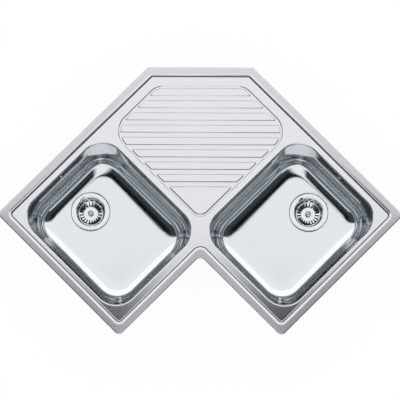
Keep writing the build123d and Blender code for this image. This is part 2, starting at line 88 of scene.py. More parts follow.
# A point of an outline is (centre x, centre y, radius, turn, angle), so that the outline can be
# moved inwards by any distance and each point keeps its neighbours.
def roundedOutline(points, radii, steps, sideSteps=1):
    outline = []
    for i, (x, y) in enumerate(points):
        before = (Vector((x, y)) - Vector(points[i - 1])).normalized()
        after = (Vector(points[(i + 1) % len(points)]) - Vector((x, y))).normalized()
        turn = 1 if before.cross(after) > 0 else -1
        first, last = Vector((before.y, -before.x)), Vector((after.y, -after.x))
        centre = Vector((x, y)) - (first + last) * (turn * radii[i] / (1 + first.dot(last)))
        start = atan2(first.y, first.x)
        sweep = atan2(before.cross(after), before.dot(after))
        for k in range(steps + 1):
            outline.append((centre.x, centre.y, radii[i], turn, start + sweep * k / steps))
    split = []
    for (x, y, radius, turn, angle), after in zip(outline, outline[1:] + outline[:1]):
        alone = abs(x - after[0]) + abs(y - after[1]) < 0.001
        for k in range(1 if alone else sideSteps):
            share = k / sideSteps
            split.append((x + (after[0] - x) * share, y + (after[1] - y) * share,
                          radius, turn, angle))
    return split


def circleOutline(x, y, radius, steps):
    return [(x, y, radius, 1, 2 * pi * k / steps) for k in range(steps)]


def movedIn(outline, distance):
    loop = []
    for x, y, radius, turn, angle in outline:
        reach = turn * radius - distance
        loop.append((x + reach * cos(angle), y + reach * sin(angle)))
    return loop


def onLeg(outline, side):
    placed = []
    for x, y, radius, turn, angle in outline:
        px, py = legPoint(x, y)
        if side == "left":
            placed.append((px, py, radius, turn, angle + legTurn))
        else:
            placed.append((-px, py, radius, turn, pi - angle - legTurn))
    return placed


def insetCorners(points, distance):
    moved = []
    for i, (x, y) in enumerate(points):
        before = (Vector((x, y)) - Vector(points[i - 1])).normalized()
        after = (Vector(points[(i + 1) % len(points)]) - Vector((x, y))).normalized()
        first, last = Vector((before.y, -before.x)), Vector((after.y, -after.x))
        step = (first + last) * (distance / (1 + first.dot(last)))
        moved.append((x - step.x, y - step.y))
    return moved


def mirroredCorners(points):
    return [(-x, y) for x, y in reversed(points)]


# A section is a row of (distance inwards, height) from the outside in. The sheet lies below it or
# outside of it.
def roundSection(points, radii, steps):
    section = [points[0]]
    for before, corner, after, radius in zip(points, points[1:], points[2:], radii):
        corner = Vector(corner)
        toBefore = (Vector(before) - corner).normalized()
        toAfter = (Vector(after) - corner).normalized()
        half = toBefore.angle(toAfter) / 2
        centre = corner + (toBefore + toAfter).normalized() * radius / sin(half)
        arm = corner + toBefore * radius / tan(half) - centre
        sweep = (pi - 2 * half) * (-1 if toBefore.cross(toAfter) > 0 else 1)
        for k in range(steps + 1):
            angle = sweep * k / steps
            turned = Vector((arm.x * cos(angle) - arm.y * sin(angle),
                             arm.x * sin(angle) + arm.y * cos(angle)))
            section.append(tuple(centre + turned))
    section.append(points[-1])
    return section


def underSection(section, thickness):
    under = []
    for i, point in enumerate(section):
        normals = []
        for a, b in zip(section[max(i - 1, 0):i + 1], section[max(i - 1, 0) + 1:i + 2]):
            way = (Vector(b) - Vector(a)).normalized()
            normals.append(Vector((way.y, -way.x)))
        middle = sum(normals, Vector((0, 0))).normalized()
        under.append(tuple(Vector(point) + middle * (thickness / middle.dot(normals[0]))))
    return under


def addLoop(mesh, points, height):
    return [mesh.verts.new((x / 1000, y / 1000, height / 1000)) for x, y in points]


def bridge(mesh, first, second, skip=()):
    for i in range(len(first)):
        j = (i + 1) % len(first)
        if i not in skip:
            mesh.faces.new((first[i], first[j], second[j], second[i]))


def addStrips(mesh, outline, section):
    loops = [addLoop(mesh, movedIn(outline, inwards), height) for inwards, height in section]
    for first, second in zip(loops, loops[1:]):
        bridge(mesh, first, second)
    return loops


def fillFlat(mesh, outer, holes, scale=1000):
    rings = [outer] + holes
    verts = [vert for ring in rings for vert in ring]
    for corners in tessellate_polygon([[vert.co * scale for vert in ring] for ring in rings]):
        mesh.faces.new([verts[i] for i in corners])


def finishPiece(name, mesh, materials, nodes, body, sharp=35):
    bmesh.ops.recalc_face_normals(mesh, faces=mesh.faces)
    for face in mesh.faces:
        face.smooth = True
    for edge in mesh.edges:
        edge.smooth = edge.calc_face_angle(0) < radians(sharp)
    data = bpy.data.meshes.new(name)
    mesh.to_mesh(data)
    mesh.free()
    placePiece(name, data, materials, nodes, body)


def placePiece(name, data, materials, nodes, body):
    piece = bpy.data.objects.new(name, data)
    scene.collection.objects.link(piece)
    places = [face.material_index for face in data.polygons]
    data.materials.clear()
    for material in materials:
        data.materials.append(material)
    data.polygons.foreach_set("material_index", places)
    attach(piece, body)
    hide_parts(*nodes)


def hexColour(text):
    channels = [int(text[i:i + 2], 16) / 255 for i in (0, 2, 4)]
    linear = [c / 12.92 if c <= 0.04045 else ((c + 0.055) / 1.055) ** 2.4 for c in channels]
    return (*linear, 1.0)


# A socket goes by its name, or by its number where a node's names repeat.
def addNode(tree, kind, settings, links):
    node = tree.nodes.new(kind)
    for name, value in settings.items():
        if isinstance(name, int) or name in node.inputs:
            node.inputs[name].default_value = value
        else:
            setattr(node, name, value)
    for name, socket in links.items():
        tree.links.new(socket, node.inputs[name])
    return node


def newMaterial(name):
    material = bpy.data.materials.new(name)
    material.use_nodes = True
    tree = material.node_tree
    tree.nodes.clear()
    return material, tree


def metalMaterial(name, look):
    material, tree = newMaterial(name)
    place = addNode(tree, "ShaderNodeTexCoord", {}, {})
    along = addNode(tree, "ShaderNodeMapping", {"Rotation": (0, 0, radians(look["grainTurn"])),
                    "Scale": (1000 / look["grainLength"], 1000 / look["grainWidth"],
                              1000 / look["grainWidth"])}, {"Vector": place.outputs["Object"]})
    grain = addNode(tree, "ShaderNodeTexNoise", {"Scale": 1.0, "Detail": 3.0, "Roughness": 0.6},
                    {"Vector": along.outputs["Vector"]})
    wave = addNode(tree, "ShaderNodeTexNoise", {"Scale": 1000 / look["waveSize"], "Detail": 1.0},
                   {"Vector": place.outputs["Object"]})
    rough = addNode(tree, "ShaderNodeMapRange", {
        "From Min": 0.3, "From Max": 0.7, "To Min": look["roughness"] - look["spread"],
        "To Max": look["roughness"] + look["spread"]}, {"Value": grain.outputs["Fac"]})
    waveBump = addNode(tree, "ShaderNodeBump", {
        "Strength": 1.0, "Distance": look["waveHeight"] / 1000}, {"Height": wave.outputs["Fac"]})
    grainBump = addNode(tree, "ShaderNodeBump", {
        "Strength": 1.0, "Distance": look["grainHeight"] / 1000},
        {"Height": grain.outputs["Fac"], "Normal": waveBump.outputs["Normal"]})
    shader = addNode(tree, "ShaderNodeBsdfPrincipled", {
        "Base Color": hexColour(look["colour"]), "Metallic": 1.0},
        {"Roughness": rough.outputs["Result"], "Normal": grainBump.outputs["Normal"]})
    addNode(tree, "ShaderNodeOutputMaterial", {}, {"Surface": shader.outputs["BSDF"]})
    return material


def softMaterial(name, look):
    material, tree = newMaterial(name)
    place = addNode(tree, "ShaderNodeTexCoord", {}, {})
    grain = addNode(tree, "ShaderNodeTexNoise", {"Scale": 1000 / look["grainSize"], "Detail": 4.0},
                    {"Vector": place.outputs["Object"]})
    tint = addNode(tree, "ShaderNodeMix", {
        "data_type": "RGBA", "A": hexColour(look["colour"]), "B": hexColour(look["worn"])},
        {"Factor": grain.outputs["Fac"]})
    bump = addNode(tree, "ShaderNodeBump", {
        "Strength": 1.0, "Distance": look["grainHeight"] / 1000}, {"Height": grain.outputs["Fac"]})
    shader = addNode(tree, "ShaderNodeBsdfPrincipled", {"Roughness": look["roughness"]},
                     {"Base Color": tint.outputs["Result"], "Normal": bump.outputs["Normal"]})
    addNode(tree, "ShaderNodeOutputMaterial", {}, {"Surface": shader.outputs["BSDF"]})
    return material


# The grain of every brushed or rolled steel is drawn coarser than the real one, so that it shows.
# Stainless sheet, cold rolled and satin finished: clear but soft reflections, a faint grain
satinSteel = metalMaterial("satinStainlessSheet", {
    "colour": "DADCDF", "roughness": 0.1, "spread": 0.015, "grainTurn": 0.0,
    "grainLength": 30.0, "grainWidth": 0.6, "grainHeight": 0.0015,
    "waveSize": 90.0, "waveHeight": 0.02})
# The rim band, ground flat after pressing: the same sheet with a wider, duller shine
bandSteel = metalMaterial("groundStainlessBand", {
    "colour": "CBCED1", "roughness": 0.24, "spread": 0.02, "grainTurn": 0.0,
    "grainLength": 12.0, "grainWidth": 0.8, "grainHeight": 0.0006,
    "waveSize": 90.0, "waveHeight": 0.01})
# Deep-drawn bowl, brushed after drawing: nearly a mirror, with fine lines along its walls
bowlSteel = metalMaterial("brushedDrawnStainless", {
    "colour": "DBDEE1", "roughness": 0.085, "spread": 0.006, "grainTurn": -45.0,
    "grainLength": 60.0, "grainWidth": 0.8, "grainHeight": 0.0004,
    "waveSize": 120.0, "waveHeight": 0.04})
# Polished stainless of the waste, almost a mirror
polishedSteel = metalMaterial("polishedStainless", {
    "colour": "DFE2E4", "roughness": 0.09, "spread": 0.02, "grainTurn": 0.0,
    "grainLength": 6.0, "grainWidth": 0.5, "grainHeight": 0.0004,
    "waveSize": 30.0, "waveHeight": 0.004})
# Zinc plated pressings: dull, bluish and a little cloudy
zincPlate = metalMaterial("zincPlatedSteel", {
    "colour": "B9BEC4", "roughness": 0.34, "spread": 0.08, "grainTurn": 0.0,
    "grainLength": 4.0, "grainWidth": 4.0, "grainHeight": 0.01,
    "waveSize": 15.0, "waveHeight": 0.01})
# Moulded nitrile rubber: black, matt, slightly dusty
blackRubber = softMaterial("nitrileRubber", {
    "colour": "161617", "worn": "232324", "roughness": 0.6, "grainSize": 0.8, "grainHeight": 0.02})
# Closed-cell foam strip: dark, dull and finely pitted
sealFoam = softMaterial("closedCellFoam", {
    "colour": "3A3B3D", "worn": "4A4B4E", "roughness": 0.85, "grainSize": 0.9, "grainHeight": 0.12})
# Bitumen felt that deadens the sheet: near black, rough and uneven
bitumenPad = softMaterial("bitumenFelt", {
    "colour": "2A2B2D", "worn": "3C3D40", "roughness": 0.75, "grainSize": 2.5, "grainHeight": 0.25})
# Injection-moulded polypropylene: off-white, half matt, with a fine spark texture
wastePlastic = softMaterial("mouldedPolypropylene", {
    "colour": "DCDCDA", "worn": "D2D2CF", "roughness": 0.42, "grainSize": 0.7, "grainHeight": 0.01})
# Blown polyethylene of the overflow hose: plain grey with a low shine
hosePlastic = softMaterial("greyPolyethylene", {
    "colour": "A3A6A9", "worn": "979A9E", "roughness": 0.38, "grainSize": 1.2, "grainHeight": 0.01})
print("materials made")


# The deck: rim band, slope, recessed deck, drainer bars and the rolls into the bowls
deckLook = {
    "sheet": 1.0, "rimTop": 4.0, "edgeTop": 3.75, "edgeRadius": 2.0, "ridge": 18.0,
    "edgeRun": 5.0, "edgeSteps": 6, "ridgeRun": 2.5, "slopeRun": 3.0, "creaseSteps": 5,
    "bandWidth": 25.0, "bandEnd": 3.6, "slopeWidth": 3.5,
    "creaseRadius": 13.0, "notchCreaseRadius": 24.5, "ridgeSoftness": 12.0,
    "creaseSoftness": 0.8, "footSoftness": 1.2, "groundLoops": 4, "cornerSteps": 10,
    "rollRadius": 4.0, "rollRun": 5.5, "rollSteps": 10,
    "drainerMargin": 55.0, "drainerBack": 53.6, "drainerGap": 21.0,
    "drainerRadii": [50.0, 62.0, 34.0, 62.0, 50.0],
    "drainerSteps": 14, "channelDepth": 2.0, "channelSoftness": 0.5, "channelSteps": 4,
    "channelRun": 1.5, "edgeChannel": 6.5, "channelWidth": 12.75,
    "bars": 9, "barWidth": 23.5, "barRadius": 3.5, "barRun": 1.0, "barTurn": 12.0,
    "leastSide": 0.05,
}

leftRim = [legPoint(plan["cornerCut"], 0), legPoint(plan["wallSide"], 0),
           legPoint(plan["wallSide"], plan["legDepth"])]
rimCorners = leftRim + [legPoint(plan["legDepth"], plan["legDepth"])] + mirroredCorners(leftRim)
endRadius, backRadius = plan["endRadius"], plan["backRadius"]
rimOutline = roundedOutline(rimCorners, [backRadius, endRadius, endRadius, plan["notchRadius"],
                                         endRadius, endRadius, backRadius], deckLook["cornerSteps"])
creaseRadius = deckLook["creaseRadius"]
creaseOutline = roundedOutline(
    insetCorners(rimCorners, deckLook["bandWidth"]),
    [creaseRadius] * 3 + [deckLook["notchCreaseRadius"]] + [creaseRadius] * 3,
    deckLook["cornerSteps"])

bowlCorners = [(bowlS + x * plan["bowlWidth"] / 2, bowlT + y * plan["bowlLength"] / 2)
               for x, y in ((-1, -1), (1, -1), (1, 1), (-1, 1))]
bowlSteps, bowlSideSteps = 16, 8
bowlOutline = roundedOutline(bowlCorners, [plan["bowlRadius"]] * 4, bowlSteps, bowlSideSteps)

fieldFar = plan["wallSide"] - plan["endMargin"] - plan["bowlWidth"] - deckLook["drainerGap"]
fieldBack = sqrt(2) * (deckLook["drainerBack"] + cornerY) - deckLook["drainerMargin"]
leftField = [legPoint(fieldBack, deckLook["drainerMargin"]),
             legPoint(fieldFar, deckLook["drainerMargin"])]
fieldCorners = leftField + [legPoint(fieldFar, fieldFar)] + mirroredCorners(leftField)
fieldOutline = roundedOutline(fieldCorners, deckLook["drainerRadii"], deckLook["drainerSteps"])


def clipped(polygon, point, normal):
    kept = []
    for a, b in zip(polygon, polygon[1:] + polygon[:1]):
        aheadA, aheadB = (a - point).dot(normal), (b - point).dot(normal)
        if aheadA <= 0:
            kept.append(a)
        if aheadA * aheadB < 0:
            kept.append(a + (b - a) * (aheadA / (aheadA - aheadB)))
    return kept


def sideNormals(polygon):
    normals = []
    for a, b in zip(polygon, polygon[1:] + polygon[:1]):
        way = (b - a).normalized()
        normals.append(Vector((way.y, -way.x)))
    return normals


def barOutline(top, bottom, radius):
    shape = [Vector(point) for point in movedIn(fieldOutline, deckLook["edgeChannel"])]
    shape = clipped(shape, Vector((0, top)), Vector((0, 1)))
    shape = clipped(shape, Vector((0, bottom)), Vector((0, -1)))
    core = shape
    for point, normal in zip(shape, sideNormals(shape)):
        core = clipped(core, point - normal * radius, normal)
    core = [a for a, b in zip(core, core[1:] + core[:1])
            if (a - b).length > deckLook["leastSide"]]
    normals = sideNormals(core)
    outline = []
    for i, centre in enumerate(core):
        first, last = normals[i - 1], normals[i]
        start = atan2(first.y, first.x)
        sweep = atan2(first.cross(last), first.dot(last))
        steps = max(1, ceil(degrees(sweep) / deckLook["barTurn"]))
        for k in range(steps + 1):
            outline.append((centre.x, centre.y, radius, 1, start + sweep * k / steps))
    return outline


barOutlines = []
barTop = -deckLook["drainerBack"] - deckLook["edgeChannel"]
for number in range(deckLook["bars"]):
    last = number == deckLook["bars"] - 1
    barBottom = -plan["wallSide"] if last else barTop - deckLook["barWidth"]
    barOutlines.append(barOutline(barTop, barBottom, deckLook["barRadius"]))
    barTop = barBottom - deckLook["channelWidth"]


def deckSections():
    look = deckLook
    top, deckTop = look["rimTop"], plan["deckTop"]
    edge, band, ridge, slope = look["edgeTop"], look["bandWidth"], look["ridge"], look["slopeWidth"]
    rise = (top - edge) / ridge
    edgeRun, ridgeRun, rollRun = look["edgeRun"], look["ridgeRun"], look["rollRun"]
    rim = roundSection([(0, 0), (0, edge), (edgeRun, edge + edgeRun * rise)],
                       [look["edgeRadius"]], look["edgeSteps"])
    crease = roundSection(
        [(ridge - band - ridgeRun, top - ridgeRun * rise), (ridge - band, top), (0, look["bandEnd"]),
         (slope, deckTop), (slope + look["slopeRun"], deckTop)],
        [look["ridgeSoftness"], look["creaseSoftness"], look["footSoftness"]], look["creaseSteps"])
    lean = plan["collarDepth"] * tan(radians(plan["wallDraft"]))
    roll = roundSection([(-lean - rollRun, deckTop), (-lean, deckTop), (0, weldHeight)],
                        [look["rollRadius"]], look["rollSteps"])
    deep, run, soft = look["channelDepth"], look["channelRun"], look["channelSoftness"]
    field = roundSection([(-run, deckTop), (0, deckTop), (deep, deckTop - deep),
                          (deep + run, deckTop - deep)], [soft, soft], look["channelSteps"])
    bar = roundSection([(-run, deckTop - deep), (0, deckTop - deep), (deep, deckTop),
                        (deep + look["barRun"], deckTop)], [soft, soft], look["channelSteps"])
    return rim, crease, roll, field, bar


def addDeckSkin(mesh, thickness):
    rim, crease, roll, field, bar = [underSection(s, thickness) for s in deckSections()]
    rimLoops = addStrips(mesh, rimOutline, rim)
    creaseLoops = addStrips(mesh, creaseOutline, crease)
    bridge(mesh, rimLoops[-1], creaseLoops[0])
    ground = {vert for loop in rimLoops + creaseLoops[:deckLook["groundLoops"]] for vert in loop}
    for face in mesh.faces:
        if all(vert in ground for vert in face.verts):
            face.material_index = 1
    rolls = [addStrips(mesh, onLeg(bowlOutline, side), roll) for side in ("left", "right")]
    fieldLoops = addStrips(mesh, fieldOutline, field)
    bars = [addStrips(mesh, outline, bar) for outline in barOutlines]
    fillFlat(mesh, creaseLoops[-1], [loops[0] for loops in rolls] + [fieldLoops[0]])
    fillFlat(mesh, fieldLoops[-1], [loops[0] for loops in bars])
    for loops in bars:
        mesh.faces.new(loops[-1])
    return [rimLoops[0]] + [loops[-1] for loops in rolls]


deckMesh = bmesh.new()
for upper, lower in zip(addDeckSkin(deckMesh, 0), addDeckSkin(deckMesh, deckLook["sheet"])):
    bridge(deckMesh, upper, lower)
finishPiece("deckSheet", deckMesh, [satinSteel, bandSteel], ["deck"], "sink")
print("deck made")


# The bowls, in leg coordinates
bowlLook = {
    "sheet": 1.0, "floorRadius": 45.0, "wallSteps": 20,
    "seatRadius": 57.5, "seatDepth": 3.0, "seatSoftness": 1.4, "seatRun": 3.0, "seatSteps": 5,
    "wasteHole": 45.0, "overflowDrop": 25.0, "overflowPitch": 9.75, "overflowHole": 3.0,
    "screwHole": 2.5, "holeSides": 24,
    "fall": 0.012, "fallStart": 60.0, "floorRings": 16, "cornerGrowth": 25.0,
    "easeWidth": 14.0, "easeRoom": 60.0,
}
lowOutline = roundedOutline(bowlCorners, [plan["bowlRadius"] + bowlLook["cornerGrowth"]] * 4,
                            bowlSteps, bowlSideSteps)
wasteSpot = Vector((bowlS, plan["wasteToWall"]))


def fallen(vert):  # lifts the floor and the wall's foot, so that the floor falls to the waste
    away = (Vector((vert.co.x, vert.co.y)) * 1000 - wasteSpot).length - bowlLook["fallStart"]
    depth = (weldHeight - vert.co.z * 1000) / (weldHeight - floorHeight)
    vert.co.z += max(0.0, away) * bowlLook["fall"] * max(0.0, depth) ** 3 / 1000


def eased(vert, intoRound, room):  # lets the floor start to rise before the round at its edge
    radius = bowlLook["floorRadius"]
    if intoRound >= radius:
        return
    plain = max(0.0, intoRound)
    width = bowlLook["easeWidth"] * room * (1 - (plain / radius) ** 2) ** 2
    soft = min((intoRound + sqrt(intoRound ** 2 + width ** 2)) / 2, radius)
    vert.co.z += (sqrt(radius ** 2 - plain ** 2) - sqrt(radius ** 2 - soft ** 2)) / 1000


def addBowlSkin(mesh, thickness):
    weld, floor = weldHeight, floorHeight
    draft, radius = radians(plan["wallDraft"]), bowlLook["floorRadius"]
    foot = (weld - floor) * tan(draft)
    wall = underSection(roundSection([(0, weld), (foot, floor), (foot + radius, floor)],
                                     [radius], bowlLook["wallSteps"]), thickness)
    loops = []
    for inwards, height in wall:  # the corners widen towards the floor
        share = (weld - height) / (weld - floor)
        points = [Vector(high).lerp(Vector(low), share) for high, low in
                  zip(movedIn(bowlOutline, inwards), movedIn(lowOutline, inwards))]
        loops.append(addLoop(mesh, points, height))
    panel = range(bowlSteps, bowlSteps + bowlSideSteps)
    for i, (first, second) in enumerate(zip(loops, loops[1:])):
        bridge(mesh, first, second, skip=panel if i == 0 else ())
    holes = []
    holeHeight = plan["deckTop"] - bowlLook["overflowDrop"]
    centre = Vector((bowlS, plan["wallMargin"] + (weld - holeHeight) * tan(draft), holeHeight))
    centre -= Vector((0, cos(draft), sin(draft))) * thickness
    upwards = Vector((0, -sin(draft), cos(draft)))
    sides = bowlLook["holeSides"]
    for place in (-2, -1, 0, 1, 2):  # the screw's hole is the middle one
        size = bowlLook["overflowHole"] if place else bowlLook["screwHole"]
        middle = centre + Vector((place * bowlLook["overflowPitch"], 0, 0))
        ring = [middle + Vector((size * cos(a), 0, 0)) + upwards * (size * sin(a))
                for a in (2 * pi * k / sides for k in range(sides))]
        holes.append([mesh.verts.new(point / 1000) for point in ring])
    upper = loops[0][panel[0]:panel[-1] + 2]
    lower = loops[1][panel[0]:panel[-1] + 2]
    fillFlat(mesh, upper + lower[::-1], holes)
    low = floor - bowlLook["seatDepth"]
    soft = bowlLook["seatSoftness"]
    seat = roundSection([(-bowlLook["seatRun"], floor), (0, floor), (0, low),
                         (bowlLook["seatRadius"] - bowlLook["wasteHole"], low)],
                        [soft, soft], bowlLook["seatSteps"])
    rays = [Vector((vert.co.x, vert.co.y)) * 1000 - wasteSpot for vert in loops[-1]]
    seatOutline = [(*wasteSpot, bowlLook["seatRadius"], 1, atan2(ray.y, ray.x)) for ray in rays]
    seatLoops = addStrips(mesh, seatOutline, underSection(seat, thickness))
    rings = [loops[-1]]
    for k in range(1, bowlLook["floorRings"]):
        share = k / bowlLook["floorRings"]
        rings.append([mesh.verts.new(outer.co.lerp(inner.co, share))
                      for outer, inner in zip(loops[-1], seatLoops[0])])
    rings.append(seatLoops[0])
    for first, second in zip(rings, rings[1:]):
        bridge(mesh, first, second)
    arcEnd = (weld - floor - radius) * tan(draft) + radius / cos(draft)
    flatStrip = foot + radius - arcEnd
    for i, (outer, inner) in enumerate(zip(loops[-1], seatLoops[0])):
        length = (outer.co - inner.co).length * 1000
        room = min(1.0, length / bowlLook["easeRoom"])
        for k, ring in enumerate(rings[1:-1], start=1):
            eased(ring[i], -flatStrip - length * k / bowlLook["floorRings"], room)
        for (inwards, height), loop in zip(wall, loops):
            eased(loop[i], arcEnd - inwards, room)
    for ring in loops[1:] + rings[1:-1]:
        for vert in ring:
            fallen(vert)
    return [loops[0], seatLoops[-1]] + holes


for side in ("left", "right"):
    bowlMesh = bmesh.new()
    inner = addBowlSkin(bowlMesh, 0)
    outer = addBowlSkin(bowlMesh, bowlLook["sheet"])
    for upper, lower in zip(inner, outer):
        bridge(bowlMesh, upper, lower)
    bmesh.ops.transform(bowlMesh, matrix=legMatrix(side), verts=bowlMesh.verts)
    finishPiece(f"{side}BowlDrawn", bowlMesh, [bowlSteel], [f"{side}_bowl"], "sink")
print("bowls made")


# The other nodes keep the shape of their solids, smoothed between their edges.
weldReach = 0.000002


def dressNode(node, material, body, sharp=30):
    mesh = bmesh.new()
    mesh.from_mesh(frame["nodes"][node].data)
    bmesh.ops.remove_doubles(mesh, verts=mesh.verts, dist=weldReach)
    for face in mesh.faces:
        face.smooth = True
    for edge in mesh.edges:
        edge.smooth = edge.calc_face_angle(0) < radians(sharp)
    data = bpy.data.meshes.new(node)
    mesh.to_mesh(data)
    mesh.free()
    placePiece(node + "Skin", data, [material], [node], body)


bodyOf = {node: body for body, nodes in frame["record"]["behaviour"]["bodies"].items()
          for node in nodes}
slotOf = {entry["node"]: entry["material_slot"] for entry in frame["record"]["subparts"]}
finishOf = {
    "polished_steel": polishedSteel, "zinc_plated_steel": zincPlate, "black_rubber": blackRubber,
    "seal_foam": sealFoam, "bitumen_pad": bitumenPad, "waste_plastic": wastePlastic,
    "hose_plastic": hosePlastic, "deck_steel": satinSteel,
}
madeHere = ("deck", "_bowl", "_basket", "_hose")
for node in sorted(frame["nodes"]):
    if node.endswith(madeHere):
        continue
    dressNode(node, finishOf[slotOf[node]], bodyOf[node])
print("nodes dressed")


# Geometry Nodes turn the basket's sector round its axis and sweep the ribbed hose.
def newTree(name, inputs):
    tree = bpy.data.node_groups.new(name, "GeometryNodeTree")
    tree.interface.new_socket("Geometry", in_out="INPUT", socket_type="NodeSocketGeometry")
    tree.interface.new_socket("Geometry", in_out="OUTPUT", socket_type="NodeSocketGeometry")
    for socket, kind in inputs.items():
        tree.interface.new_socket(socket, in_out="INPUT", socket_type=kind)
    return tree, tree.nodes.new("NodeGroupInput"), tree.nodes.new("NodeGroupOutput")


def bakedMesh(name, data, tree, values):
    piece = bpy.data.objects.new(name, data)
    scene.collection.objects.link(piece)
    modifier = piece.modifiers.new(tree.name, "NODES")
    modifier.node_group = tree
    for item in tree.interface.items_tree:
        if item.in_out == "INPUT" and item.name in values:
            modifier[item.identifier] = values[item.name]
    bpy.context.view_layer.update()
    seen = piece.evaluated_get(bpy.context.evaluated_depsgraph_get())
    baked = bpy.data.meshes.new_from_object(seen)
    bpy.data.objects.remove(piece)
    return baked


basketLook = {
    "floor": -30.0, "rim": -25.0, "sheet": 0.8, "stemHole": 3.05,
    "floorRadius": 20.0, "coneRadius": 35.6, "rimRadius": 36.8, "fold": 0.31, "rimRound": 0.25,
    "slots": 20, "slotWidth": 4.0, "slotStart": 20.5, "slotEnd": 34.0, "slotSteps": 8,
    "columns": 6, "floorRings": [9.0, 15.0], "ribRings": [25.0, 30.0],
    "coneRun": 0.4, "rimRun": 0.5, "dish": 1.8, "weldReach": 0.00002,
}


def basketHeight(r):
    look = basketLook
    share = (r - look["floorRadius"]) / (look["coneRadius"] - look["floorRadius"])
    share = min(1.0, max(0.0, share))
    return look["floor"] + (look["rim"] - look["floor"]) * share ** look["dish"]


def basketSector():
    look = basketLook
    half, columns = pi / look["slots"], look["columns"]
    mesh = bmesh.new()

    def vertAt(r, angle, lift):
        return mesh.verts.new((r * cos(angle), r * sin(angle), basketHeight(r) + lift))

    def arcRow(r, lift):
        return [vertAt(r, -half + 2 * half * k / columns, lift) for k in range(columns + 1)]

    def join(first, second):
        for k in range(len(first) - 1):
            mesh.faces.new((first[k], first[k + 1], second[k + 1], second[k]))

    fold, start = look["fold"], look["floorRadius"]
    low, high, cone = start + fold, look["coneRadius"] - look["coneRun"], look["coneRadius"]
    radius = look["slotWidth"] / 2
    inner, outer = look["slotStart"] + radius, look["slotEnd"] - radius
    edges = []
    for lift in (0.0, -look["sheet"]):
        rows = [arcRow(r, lift) for r in (look["stemHole"], *look["floorRings"], start - fold,
                                          start, low)]
        rimRows = [arcRow(r, lift) for r in (high, cone, cone + look["rimRun"])]
        last = arcRow(look["rimRadius"] - look["rimRound"], lift)
        for first, second in zip(rows, rows[1:]):
            join(first, second)
        for first, second in zip(rimRows, rimRows[1:] + [last]):
            join(first, second)
        slot = []
        for middle, turn in ((outer, -pi / 2), (inner, pi / 2)):
            for k in range(look["slotSteps"] + 1):
                angle = turn + pi * k / look["slotSteps"]
                x, y = middle + radius * cos(angle), radius * sin(angle)
                slot.append(vertAt(sqrt(x * x + y * y), atan2(y, x), lift))
        sides = [[vertAt(r, way, lift) for r in look["ribRings"]] for way in (half, -half)]
        ring = rows[-1] + sides[0] + rimRows[0][::-1] + sides[1][::-1]
        fillFlat(mesh, ring, [slot], scale=1)
        edges.append((rows[0], last, slot))
    brim = [arcRow(look["rimRadius"], -look["rimRound"]),
            arcRow(look["rimRadius"], look["rimRound"] - look["sheet"])]
    join(edges[0][0], edges[1][0])
    for first, second in ((edges[0][1], brim[0]), (brim[0], brim[1]), (brim[1], edges[1][1])):
        join(first, second)
    bridge(mesh, edges[0][2], edges[1][2])
    data = bpy.data.meshes.new("basketSector")
    mesh.to_mesh(data)
    mesh.free()
    data.transform(Matrix.Scale(0.001, 4))
    return data


sectorTree, given, result = newTree("turnedSectors", {
    "Sectors": "NodeSocketInt", "Weld Distance": "NodeSocketFloat", "Finish": "NodeSocketMaterial"})
points = addNode(sectorTree, "GeometryNodePoints", {}, {"Count": given.outputs["Sectors"]})
index = addNode(sectorTree, "GeometryNodeInputIndex", {}, {})
step = addNode(sectorTree, "ShaderNodeMath", {"operation": "DIVIDE", 0: 2 * pi},
               {1: given.outputs["Sectors"]})
turn = addNode(sectorTree, "ShaderNodeMath", {"operation": "MULTIPLY"},
               {0: index.outputs[0], 1: step.outputs[0]})
spin = addNode(sectorTree, "ShaderNodeCombineXYZ", {}, {"Z": turn.outputs[0]})
copies = addNode(sectorTree, "GeometryNodeInstanceOnPoints", {}, {
    "Points": points.outputs[0], "Instance": given.outputs["Geometry"],
    "Rotation": spin.outputs[0]})
real = addNode(sectorTree, "GeometryNodeRealizeInstances", {}, {"Geometry": copies.outputs[0]})
weld = addNode(sectorTree, "GeometryNodeMergeByDistance", {}, {
    "Geometry": real.outputs[0], "Distance": given.outputs["Weld Distance"]})
finish = addNode(sectorTree, "GeometryNodeSetMaterial", {}, {
    "Geometry": weld.outputs[0], "Material": given.outputs["Finish"]})
sectorTree.links.new(finish.outputs[0], result.inputs["Geometry"])

for side in ("left", "right"):
    turned = bakedMesh("basketMaker", basketSector(), sectorTree, {
        "Sectors": basketLook["slots"], "Weld Distance": basketLook["weldReach"],
        "Finish": polishedSteel})
    basketMesh = bmesh.new()
    basketMesh.from_mesh(turned)
    place = Matrix.Translation(Vector((*wasteSpot, floorHeight - bowlLook["seatDepth"])) / 1000)
    bmesh.ops.transform(basketMesh, matrix=legMatrix(side) @ place, verts=basketMesh.verts)
    finishPiece(f"{side}BasketPressed", basketMesh, [polishedSteel], [f"{side}_basket"],
                bodyOf[f"{side}_basket"])
print("baskets made")

# The hose runs down behind the wall side of the bowl, bends once and ends in the waste body.
hoseLook = {
    "wallSide": 35.27, "top": -40.5, "low": -195.5, "end": 111.5, "bend": 50.0, "bendSteps": 24,
    "rootRadius": 9.8, "boreRadius": 8.6, "ribHeight": 1.2, "ribs": 50, "ringsPerRib": 7,
    "sides": 40, "ribStart": 0.1, "ribCrest": 0.3,
}
hoseLength = (hoseLook["top"] - hoseLook["low"] + hoseLook["end"] - hoseLook["wallSide"]
              - (2 - pi / 2) * hoseLook["bend"])

